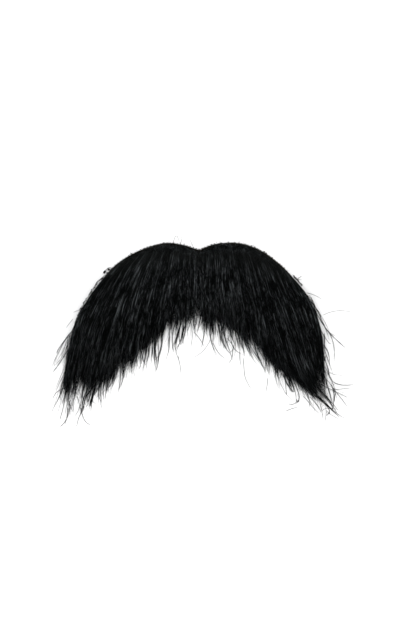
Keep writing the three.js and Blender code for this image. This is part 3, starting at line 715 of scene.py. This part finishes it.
class MoustacheHair(bpy.types.PropertyGroup):
    """Sizes and colours of the hair."""

    strands: bpy.props.IntProperty(name="Strands", description="Strands in each row of each wing", default=4900)
    strays: bpy.props.IntProperty(name="Strays", description="Loose hairs on each wing", default=140)
    thickness: length_prop("Thickness", "Thickness of a strand", 0.145 * MM)
    fringe: length_prop("Fringe", "How far before the tips the strands gather into tufts", 13 * MM)
    jag: length_prop("Jag", "How far the thinnest wisps stand out of the fringe", 0.6 * MM)
    thinning: length_prop("Thinning", "How slowly the wisps get fewer past the mass", 1.35 * MM)
    mass_inset: length_prop("Mass inset", "How far before the seen fringe the wisps start to get fewer", 2.3 * MM)
    flank_inset: length_prop("Flank inset", "How far inside the edge the outer strands start", 0.4 * MM)
    drift: length_prop("Drift", "How far a wisp drifts to a side from its knot to its tip", 1.5 * MM)
    swing: length_prop("Swing", "How far a wisp's tip swings to a side in the fringe", 1.6 * MM)
    waviness: length_prop("Waviness", "How far a strand waves to each side", 0.1 * MM)
    weave: bpy.props.FloatProperty(name="Weave", description="Share of the hair's height that a wisp weaves up and down", default=0.1)
    wildness: bpy.props.FloatProperty(name="Wildness", description="Share of the wisps that lie across the others", default=0.12)
    # The glinting strands are painted glints: their base colour is lightened to stand in for their shine.
    glinting: bpy.props.FloatProperty(name="Glinting", description="Share of the strands that glint", default=0.14)
    net_top: length_prop("Net top", "Height of the net's upper side, where the strands are knotted", 0.5 * MM)
    tufts: bpy.props.IntProperty(name="Tufts", description="Tufts along each wing's fringe", default=17)
    wisps: bpy.props.IntProperty(name="Wisps", description="Wisps across each wing in each layer", default=170)
    layers: bpy.props.IntProperty(name="Layers", description="Layers of wisps in each row of hair", default=6)
    knot_rows: bpy.props.IntProperty(name="Knot rows", description="Rows of knots across the net", default=14)
    root: colour_prop("Root", "Colour of all strands near their knots", (0.0098, 0.0108, 0.0102))
    deepest: colour_prop("Deepest", "Colour of the darkest strands", (0.0002, 0.0002, 0.0002))
    middle: colour_prop("Middle", "Colour of most strands", (0.0041, 0.0051, 0.0055))
    # Painted glint: the light base colour that the glinting strands take in place of their shine.
    painted_glint: colour_prop("Lightest", "Colour of the lightest strands", (0.25, 0.275, 0.285))
    roughness: bpy.props.FloatProperty(name="Roughness", description="Roughness of the hair", default=0.38)


class MoustacheNet(bpy.types.PropertyGroup):
    """Sizes and colours of the net and its edge."""

    cell: length_prop("Cell", "Width of one cell of the net", 1.5 * MM)
    thread: length_prop("Thread", "Thickness of the net's thread", 0.28 * MM)
    knot: length_prop("Knot", "Radius of the knots", 0.24 * MM)
    hem_threads: bpy.props.IntProperty(name="Hem threads", description="Threads of the hem inside the edge", default=10)
    bead_room: length_prop("Bead room", "How far the beads stand out of the cord", 0.4 * MM)
    twist: length_prop("Twist", "Length of one turn of the edge's cord", 1.5 * MM)
    dark: colour_prop("Dark", "Darkest colour of the thread", (0.003, 0.0028, 0.0022))
    light: colour_prop("Light", "Lightest colour of the net's thread", (0.024, 0.022, 0.015))
    edge_light: colour_prop("Edge light", "Lightest colour of the edge's thread", (0.012, 0.011, 0.0085))


class MoustacheStage(bpy.types.PropertyGroup):
    """The floor, the light and the camera."""

    floor_size: length_prop("Floor size", "Side of the floor", 6.0)
    floor_colour: colour_prop("Floor colour", "Colour of the floor", (0.95, 0.95, 0.95))
    camera_height: length_prop("Camera height", "Height of the camera over the floor", 0.9)
    surround: bpy.props.FloatProperty(name="Surround", description="Strength of the light all round", default=1.2)
    softbox: bpy.props.FloatProperty(name="Softbox", description="Power of the light above", default=4.0, unit="POWER")


def wings():
    """The two wings' hair lines."""
    shape = bpy.context.scene.moustache_shape
    return {
        "left": Wing(-1, shape.left_span, shape.left_drop, LEFT_EDGE, LEFT_LINES, shape.net_width),
        "right": Wing(1, shape.right_span, shape.right_drop, RIGHT_EDGE, RIGHT_LINES, shape.net_width),
    }


def from_photo(x, y):
    """The place of a pixel of the photograph on the floor."""
    return np.stack(
        [PARTING_X + (x - PHOTO_PARTING_PX) * PHOTO_PIXEL, CREST_Y - (y - PHOTO_CREST_PX) * PHOTO_PIXEL], -1
    )


class MOUSTACHE_OT_hair(bpy.types.Operator):
    """Strands of both rows of both wings"""

    bl_idname = "moustache.hair"
    bl_label = "Make the hair"

    def execute(self, context):
        hair = context.scene.moustache_hair
        material = hair_material("black_hair", hair)
        steps = 7
        for order, (name, wing) in enumerate(wings().items()):
            for row, knots in zip(ROWS, ((0.42, 1.0), (0.05, 0.42))):
                rng = np.random.default_rng(40 + 10 * order + ROWS.index(row))
                paths, way, tone = strand_paths(wing, rng, knots, hair, steps)
                radii = strand_radii(rng, way, hair.strands, hair.thickness)
                obj = mesh_piece(f"{name}_{row}_strands", *tubes(paths, radii, 3, tone))
                finish_piece(obj, "hair", material, f"{name}_{row}_hair")
        return {"FINISHED"}


class MOUSTACHE_OT_strays(bpy.types.Operator):
    """Loose hairs that stand out of the fringe and the flanks"""

    bl_idname = "moustache.strays"
    bl_label = "Make the stray hairs"

    def execute(self, context):
        hair = context.scene.moustache_hair
        material = bpy.data.materials["black_hair"]
        steps = 12
        for order, (name, wing) in enumerate(wings().items()):
            rng = np.random.default_rng(70 + order)
            paths, way = self.loose(wing, rng, hair, steps)
            radii = strand_radii(rng, way, len(paths), hair.thickness * 0.8)
            obj = mesh_piece(f"{name}_strays", *tubes(paths, radii, 4, rng.uniform(0.2, 0.8, len(paths))))
            finish_piece(obj, "hair", material)
        rng = np.random.default_rng(80)
        paths, way, finer = self.seen(rng, 9)
        radii = strand_radii(rng, way, len(paths), hair.thickness) * finer
        obj = mesh_piece("seen_wisps", *tubes(paths, radii, 4, rng.uniform(0.2, 0.7, len(paths))))
        finish_piece(obj, "hair", material)
        return {"FINISHED"}

    def loose(self, wing, rng, hair, steps):
        """Strands that leave their hair line: each bows aside by the square of the way along, towards the
        nearer flank or either way, and ends past the fringe."""
        count = hair.strays
        flank = rng.random(count) < 0.45
        u = np.where(flank, rng.uniform(0.93, 1.0, count), rng.random(count))
        length = wing.read(wing.length, u)
        begin = rng.uniform(0.35, 0.75, count)
        end = 1 + np.minimum(rng.normal(0, 3.2 * MM, count), 4 * MM) / length
        way = np.linspace(0, 1, steps)[None]
        share = begin[:, None] + (end - begin)[:, None] * way
        outwards = rng.normal(0, 1, count) * np.where(flank, 1.0, 2.0) * MM
        curl = rng.normal(0, 1.1 * MM, (count, 1)) * np.sin(np.pi * way * rng.uniform(0.8, 1.8, (count, 1)))
        aside = outwards[:, None] * way**2 + curl * way
        flat = wing.points(u[:, None] + 0 * way, share, aside)
        run = run_of(share, wing.read(wing.net, u)[:, None])
        high = crown_height(wing, u[:, None] + 0 * way, run)
        lift = rng.uniform(0, 1.6 * MM, (count, 1)) * way * (1 - 0.5 * way)
        height = np.maximum(high * rng.uniform(0.5, 1.0, (count, 1)) + lift, 0.15 * MM)
        return np.concatenate([flat, height[..., None]], -1), way

    def seen(self, rng, steps):
        """The wisps that the photograph shows: each hair is a parabola through its wisp's three points, a little
        aside of them, and ends before or at its tip. Its height falls evenly from where it leaves the mass to the
        floor."""
        s = SEEN_WISPS
        hairs = np.where(s["hairs"] < 3, np.ceil(s["hairs"]), np.round(0.9 * s["hairs"])).astype(int)
        wisp = np.repeat(np.arange(len(hairs)), hairs)
        lone = (s["hairs"][wisp] < 3)[:, None, None]
        count = len(wisp)
        order = np.arange(count) - np.searchsorted(wisp, wisp)
        clump = np.unique(wisp * 100 + order // 3, return_inverse=True)[1]

        def apart(far):
            """Distances for each clump, and much smaller ones for each of its hairs."""
            return rng.normal(0, far, (count, 1, 2))[clump] + rng.normal(0, 0.13 * MM, (count, 1, 2))

        root, middle, tip = (from_photo(s["x" + k], s["y" + k])[wisp][:, None] for k in "012")
        spread = 0.3 * np.sqrt(s["hairs"][wisp])[:, None, None]
        root = root + apart(MM) * spread * ~lone
        middle = middle + apart(0.95 * MM) * spread * ~lone
        tip = tip + apart(0.85 * MM) * ~lone
        way = np.linspace(0, 1, steps)[None]
        ends = 1.05 - np.abs(rng.normal(0, 0.17, (count, 1))) * ~lone[..., 0]
        t = (way * np.maximum(ends, 0.5))[..., None]
        bend = 2 * middle - (root + tip) / 2
        flat = root * (1 - t) ** 2 + bend * 2 * t * (1 - t) + tip * t * t
        flat = flat + rng.normal(0, 0.1 * MM, (count, 1, 2)) * np.sin(2.6 * np.pi * t)
        height = s["lift"][wisp][:, None] * MM * (1.5 - 1.4 * t[..., 0]) * rng.uniform(0.7, 1.2, (count, 1))
        lone_radius = 1.4 * np.minimum(s["hairs"][wisp], 1)[:, None]
        finer = np.where(lone[..., 0], lone_radius, rng.uniform(0.8, 1.25, (count, 1)))
        return np.concatenate([flat, height[..., None]], -1), way, finer


class MOUSTACHE_OT_net(bpy.types.Operator):
    """The net that the hair is knotted on"""

    bl_idname = "moustache.net"
    bl_label = "Make the net"

    def execute(self, context):
        net = context.scene.moustache_net
        material = thread_material("net_thread", net.dark, net.light, 0.85, 900)
        outline = net_outline(wings(), CORD_DIAMETER / 2)
        threads, crossings = self.lattice(net, outline)
        rng = np.random.default_rng(20)
        radii = np.full(threads.shape[:2], net.thread / 2)
        points, quads, triangles, _ = tubes(threads, radii, 4)
        knots, knot_faces = self.knots(crossings, rng, net.knot)
        triangles = np.concatenate([triangles, knot_faces + len(points)])
        obj = mesh_piece("knotted_net", np.concatenate([points, knots]), quads, triangles)
        finish_piece(obj, "net", material, "net_backing")
        return {"FINISHED"}

    def lattice(self, net, outline):
        """Threads and crossings of a net of six-sided cells: each cell gives the three sides on its upper
        left, from its corners at 30, 90, 150 and 210 degrees, and its corners at 30 and 90 degrees."""
        low, high = outline.min(0), outline.max(0)
        side = net.cell / np.sqrt(3)
        columns = np.arange(int((high[0] - low[0]) / net.cell) + 2)
        rows = np.arange(int((high[1] - low[1]) / (1.5 * side)) + 2)
        row, column = np.meshgrid(rows, columns, indexing="ij")
        x = low[0] + net.cell * (column + 0.5 * (row % 2))
        y = low[1] + 1.5 * side * row
        centre = np.stack([x, y], -1).reshape(-1, 1, 2)
        turn = np.radians([30, 90, 150, 210])
        corners = centre + side * np.stack([np.cos(turn), np.sin(turn)], -1)
        sides = np.concatenate([corners[:, k : k + 2] for k in range(3)])
        sides = sides[inside(outline, sides.mean(1))]
        crossings = corners[:, :2].reshape(-1, 2)
        crossings = crossings[inside(outline, crossings)]
        height = NET_BOX[0].z + 0.3 * MM
        threads = np.concatenate([sides, np.full((*sides.shape[:2], 1), height)], -1)
        return threads, np.concatenate([crossings, np.full((len(crossings), 1), height)], -1)

    def knots(self, crossings, rng, radius):
        """A small knot at each crossing: the six corners of an octahedron, turned and stretched at random."""
        corners = np.array([(1, 0, 0), (0, 1, 0), (-1, 0, 0), (0, -1, 0), (0, 0, 1), (0, 0, -1)], float)
        faces = np.array([(0, 1, 4), (1, 2, 4), (2, 3, 4), (3, 0, 4), (1, 0, 5), (2, 1, 5), (3, 2, 5), (0, 3, 5)])
        turn = rng.uniform(0, np.pi, len(crossings))
        size = radius * rng.uniform(0.8, 1.25, (len(crossings), 3)) * (1, 1, 0.9)
        shape = corners[None] * size[:, None]
        cos, sin = np.cos(turn)[:, None], np.sin(turn)[:, None]
        x = shape[..., 0] * cos - shape[..., 1] * sin
        y = shape[..., 0] * sin + shape[..., 1] * cos
        points = crossings[:, None] + np.stack([x, y, shape[..., 2]], -1)
        return points.reshape(-1, 3), (faces[None] + 6 * np.arange(len(crossings))[:, None, None]).reshape(-1, 3)


class MOUSTACHE_OT_edge(bpy.types.Operator):
    """The corded edge, with its whipping knots, the short ends of hair beside them and loose curls of thread"""

    bl_idname = "moustache.edge"
    bl_label = "Make the edge"

    def execute(self, context):
        net = context.scene.moustache_net
        hair = context.scene.moustache_hair
        material = thread_material("edge_thread", net.dark, net.edge_light, 0.8, 1400)
        both = wings()
        path, inwards = edge_path(both, CORD_DIAMETER / 2 + net.bead_room)
        parts = [
            self.plies(path, inwards, net),
            self.whipping(path, inwards, net),
            self.hem(path, inwards, net),
            self.beads(path, inwards, net, both),
        ]
        points, quads, triangles = join_parts(parts)
        obj = mesh_piece("corded_edge", points, quads, triangles)
        finish_piece(obj, "edge_cord", material, "edge_cord")
        rng = np.random.default_rng(31)
        ends, way = self.hair_ends(path, inwards, rng)
        radii = strand_radii(rng, way, len(ends), hair.thickness * 0.8)
        # Tones from 0.1 to 0.95: the highest take the hair material's painted glint.
        obj = mesh_piece("edge_hair_ends", *tubes(ends, radii, 3, rng.uniform(0.1, 0.95, len(ends))))
        finish_piece(obj, "hair", bpy.data.materials["black_hair"])
        return {"FINISHED"}

    def plies(self, path, inwards, net):
        """Two plies twisted round each other: each is a helix round the edge, half a turn apart."""
        length = np.concatenate([[0], np.cumsum(np.linalg.norm(np.diff(path, axis=0), axis=1))])
        at = np.arange(0, length[-1], net.twist / 9)
        middle = np.stack([np.interp(at, length, path[:, k]) for k in (0, 1)], -1)
        aside = unit(np.stack([np.interp(at, length, inwards[:, k]) for k in (0, 1)], -1))
        radius = CORD_DIAMETER / 4
        turn = 2 * np.pi * at / net.twist + np.array([[0], [np.pi]])
        flat = middle + aside * (np.cos(turn) * radius)[..., None]
        height = CORD_DIAMETER / 2 + np.sin(turn) * radius
        paths = np.concatenate([flat, height[..., None]], -1)
        return tubes(paths, np.full(paths.shape[:2], radius * 1.02), 6)[:3]

    def whipping(self, path, inwards, net):
        """A knot at each cell along the edge: a ring round the cord, leaning over along it."""
        length = np.concatenate([[0], np.cumsum(np.linalg.norm(np.diff(path, axis=0), axis=1))])
        at = np.arange(net.cell / 2, length[-1], net.cell)
        rng = np.random.default_rng(30)
        middle = np.stack([np.interp(at, length, path[:, k]) for k in (0, 1)], -1)
        aside = unit(np.stack([np.interp(at, length, inwards[:, k]) for k in (0, 1)], -1))
        ahead = np.stack([-aside[:, 1], aside[:, 0]], -1)
        turn = np.linspace(0, 1.88 * np.pi, 12) + rng.uniform(0, 6, (len(at), 1))
        radius = CORD_DIAMETER / 2 * rng.uniform(0.86, 1.0, (len(at), 1))
        flat = middle[:, None] + aside[:, None] * (np.cos(turn) * radius)[..., None]
        flat = flat + ahead[:, None] * (0.22 * MM * np.sin(turn + 0.6))[..., None]
        height = CORD_DIAMETER / 2 + 0.06 * MM + np.sin(turn) * radius * 0.9
        paths = np.concatenate([flat, height[..., None]], -1)
        return tubes(paths, np.full(paths.shape[:2], 0.11 * MM), 5)[:3]

    def hem(self, path, inwards, net):
        """The hem: threads along the edge, one beside the other, that wave a little to each side."""
        rng = np.random.default_rng(33)
        aside = CORD_DIAMETER / 2 + 0.1 * MM + np.arange(net.hem_threads) * net.thread * 1.12
        at = np.linspace(0, 1, len(path))
        wave = 0.09 * MM * np.sin(2 * np.pi * (at * rng.uniform(40, 70, (len(aside), 1)) + rng.random((len(aside), 1))))
        flat = path[None, ::3] + inwards[None, ::3] * (aside[:, None] + wave)[:, ::3, None]
        height = NET_BOX[0].z + 0.42 * MM + 0.12 * MM * rng.random((len(aside), 1)) + 0 * flat[..., 0]
        paths = np.concatenate([flat, height[..., None]], -1)
        return tubes(paths, np.full(paths.shape[:2], net.thread / 2), 4)[:3]

    def flank_knots(self, both, net, rng):
        """Small knots of thread along the flanks, where the net's ends lie under the outermost hair."""
        places = []
        for wing, reach in ((both["left"], 0.52), (both["right"], 0.12)):
            share = np.arange(0, reach, net.cell / 2 / wing.length[-1])
            aside = wing.side * rng.uniform(0.2, 0.8, len(share)) * MM
            places.append(wing.points(np.ones(len(share)), share, aside))
        return np.concatenate(places)

    def beads(self, path, inwards, net, both):
        """The knots that close each cell at the edge, and the loose ones: round, and flattened at random."""
        rng = np.random.default_rng(34)
        length = np.concatenate([[0], np.cumsum(np.linalg.norm(np.diff(path, axis=0), axis=1))])
        at = np.arange(net.cell / 2, length[-1], net.cell)
        at = at + rng.normal(0, 0.12 * MM, len(at))
        middle = np.stack([np.interp(at, length, path[:, k]) for k in (0, 1)], -1)
        aside = unit(np.stack([np.interp(at, length, inwards[:, k]) for k in (0, 1)], -1))
        outer = middle - aside * (net.bead_room + rng.uniform(-0.1, 0.22, (len(at), 1)) * MM)
        inner = middle + aside * rng.uniform(0.9, 1.9, (len(at), 1)) * MM
        loose = from_photo(SEEN_KNOTS["x"], SEEN_KNOTS["y"])
        flank = self.flank_knots(both, net, rng)
        flat = np.concatenate([outer, inner, loose, flank])
        size = np.concatenate(
            [rng.uniform(0.3, 0.44, len(outer)), rng.uniform(0.2, 0.34, len(inner)), SEEN_KNOTS["size"],
             rng.uniform(0.26, 0.46, len(flank))]
        )
        size = size[:, None] * MM
        height = np.concatenate([np.full((len(outer), 1), 0.55), np.full((len(inner), 1), 0.66)]) * MM
        height = np.concatenate([height, size[len(height) :]])
        centre = np.concatenate([flat, height], -1)
        axis = unit(rng.normal(0, 1, centre.shape))
        along = -np.cos(np.linspace(0.25, np.pi - 0.25, 6))[None]
        paths = centre[:, None] + axis[:, None] * (along * size)[..., None]
        return tubes(paths, np.sqrt(1 - along**2) * size * rng.uniform(0.85, 1.0, (len(size), 1)), 7)[:3]

    def hair_ends(self, path, inwards, rng):
        """Short ends of hair at the edge. Some stick out of it, fanned out and bent up by the square. The others
        lie over the hem every way, each bowed to a side by the square."""
        out, over = 130, 1500
        place = rng.integers(0, len(path), out + over)
        sticks = np.arange(out + over) < out
        outwards = -inwards[place]
        ahead = np.stack([-outwards[:, 1], outwards[:, 0]], -1)
        fan = rng.normal(0, 0.8, (out + over, 1))
        turn = rng.normal(np.pi, 0.9, (out + over, 1))
        over_hem = outwards * np.cos(turn) + ahead * np.sin(turn)
        direction = np.where(sticks[:, None], unit(outwards + ahead * fan), over_hem)
        reach = np.where(sticks, rng.gamma(2.0, 0.3, out + over), rng.uniform(1.2, 3.6, out + over))[:, None] * MM
        begin = np.where(sticks, 0, rng.uniform(0.1, 2.6, out + over))[:, None] * MM
        way = np.linspace(0, 1, 5)[None]
        flat = (path[place] - outwards * begin)[:, None] + direction[:, None] * (reach * way)[..., None]
        bow = rng.normal(0, 0.28, (out + over, 1)) * reach * way**2
        flat = flat + np.stack([-direction[:, 1], direction[:, 0]], -1)[:, None] * bow[..., None]
        far = begin - reach * way * np.cos(turn)
        slope = 0.42 * np.maximum(far - 0.5 * MM, 0)
        lift = np.where(sticks[:, None], 0.5 * reach * way**2, 0.9 * MM * np.sin(np.pi * way * 0.8) + slope)
        height = CORD_DIAMETER * rng.uniform(0.4, 1.0, (out + over, 1)) + lift
        return np.concatenate([flat, height[..., None]], -1), way


def inside(outline, points):
    """Whether each point is inside a closed outline: a line from it to the right crosses the outline's sides
    an odd number of times."""
    x, y = points[:, None, 0], points[:, None, 1]
    x0, y0 = outline.T
    x1, y1 = np.roll(outline, -1, 0).T
    crosses = (y0 > y) != (y1 > y)
    at = x0 + (x1 - x0) * (y - y0) / np.where(y1 == y0, 1, y1 - y0)
    return (crosses & (x < at)).sum(1) % 2 == 1


def edge_path(both, inwards):
    """The net's edge from the left end over the parting to the right end, moved inwards, and the directions
    inwards."""
    line = np.concatenate([both["left"].edge[::-1], both["right"].edge[1:]])
    ahead = unit(np.gradient(line, axis=0))
    smoother = np.ones(31) / 31
    ahead = np.stack([np.convolve(np.pad(ahead[:, k], 15, "edge"), smoother, "valid") for k in (0, 1)], -1)
    normal = unit(np.stack([ahead[:, 1], -ahead[:, 0]], -1))
    return line + normal * inwards, normal


def net_outline(both, inset):
    """The net's outline: its edge, and the same edge moved inwards by the net's width."""
    upper, normal = edge_path(both, inset)
    widths = np.concatenate([both["left"].widths[::-1], both["right"].widths[1:]])
    lower = upper + normal * widths[:, None]
    return np.concatenate([upper[::8], lower[::-8]])


def join_parts(parts):
    """Points, quads and triangles of several parts, as one mesh's."""
    before = np.cumsum([0] + [len(p[0]) for p in parts])
    points = np.concatenate([p[0] for p in parts])
    quads = np.concatenate([p[1] + n for p, n in zip(parts, before)])
    triangles = np.concatenate([p[2] + n for p, n in zip(parts, before)])
    return points, quads, triangles


class MOUSTACHE_OT_stage(bpy.types.Operator):
    """The white floor, soft light and the camera straight above"""

    bl_idname = "moustache.stage"
    bl_label = "Make the stage"

    def execute(self, context):
        stage = context.scene.moustache_stage
        self.camera(context, stage)
        self.floor(stage)
        self.light(context, stage)
        return {"FINISHED"}

    def camera(self, context, stage):
        """A camera over the middle of the photograph, whose view takes in the photograph's height."""
        across, up = PHOTO_SIZE
        place = from_photo(np.array(across / 2), np.array(up / 2))
        data = bpy.data.cameras.new("camera")
        data.sensor_width = 36.0
        data.lens = data.sensor_width * stage.camera_height / (up * PHOTO_PIXEL)
        data.clip_start = 0.01
        camera = bpy.data.objects.new("camera", data)
        camera.location = (place[0], place[1], stage.camera_height)
        context.scene.collection.objects.link(camera)
        context.scene.camera = camera

    def floor(self, stage):
        half = stage.floor_size / 2
        corners = np.array([(-half, -half, 0), (half, -half, 0), (half, half, 0), (-half, half, 0)])
        floor = mesh_piece("floor", corners, np.array([(0, 1, 2, 3)]), np.empty((0, 3), int))
        floor.data.materials.append(floor_material(stage.floor_colour))

    def light(self, context, stage):
        world = context.scene.world or bpy.data.worlds.new("surround")
        context.scene.world = world
        world.use_nodes = True
        background = world.node_tree.nodes["Background"]
        background.inputs["Color"].default_value = (1, 1, 1, 1)
        background.inputs["Strength"].default_value = stage.surround
        data = bpy.data.lights.new("softbox", "AREA")
        data.shape = "RECTANGLE"
        data.size = 1.4
        data.size_y = 1.0
        data.energy = stage.softbox
        softbox = bpy.data.objects.new("softbox", data)
        softbox.location = (-0.12, 0.2, 1.3)
        softbox.rotation_euler = (-0.15, -0.09, 0)
        context.scene.collection.objects.link(softbox)
        context.scene.view_settings.view_transform = "Standard"


class MOUSTACHE_PT_panel(bpy.types.Panel):
    """Sizes, colours and makers of the moustache"""

    bl_label = "Fake moustache"
    bl_idname = "MOUSTACHE_PT_panel"
    bl_space_type = "VIEW_3D"
    bl_region_type = "UI"
    bl_category = "Moustache"

    def draw(self, context):
        layout = self.layout
        for holder in HOLDERS:
            box = layout.box()
            group = getattr(context.scene, holder)
            for key in group.__annotations__:
                box.prop(group, key)
        for operator in OPERATORS:
            layout.operator(operator.bl_idname)


HOLDERS = {
    "moustache_shape": MoustacheShape,
    "moustache_hair": MoustacheHair,
    "moustache_net": MoustacheNet,
    "moustache_stage": MoustacheStage,
}
OPERATORS = (
    MOUSTACHE_OT_stage,
    MOUSTACHE_OT_net,
    MOUSTACHE_OT_hair,
    MOUSTACHE_OT_edge,
    MOUSTACHE_OT_strays,
)


def register():
    for cls in (*HOLDERS.values(), *OPERATORS, MOUSTACHE_PT_panel):
        bpy.utils.register_class(cls)
    for holder, cls in HOLDERS.items():
        setattr(bpy.types.Scene, holder, bpy.props.PointerProperty(type=cls))


def unregister():
    for holder in HOLDERS:
        delattr(bpy.types.Scene, holder)
    for cls in (MOUSTACHE_PT_panel, *reversed(OPERATORS), *reversed(HOLDERS.values())):
        bpy.utils.unregister_class(cls)


def main():
    """Makes everything."""
    register()
    bpy.ops.moustache.stage()
    bpy.ops.moustache.net()
    bpy.ops.moustache.hair()
    bpy.ops.moustache.edge()
    bpy.ops.moustache.strays()


if __name__ == "__main__":
    main()
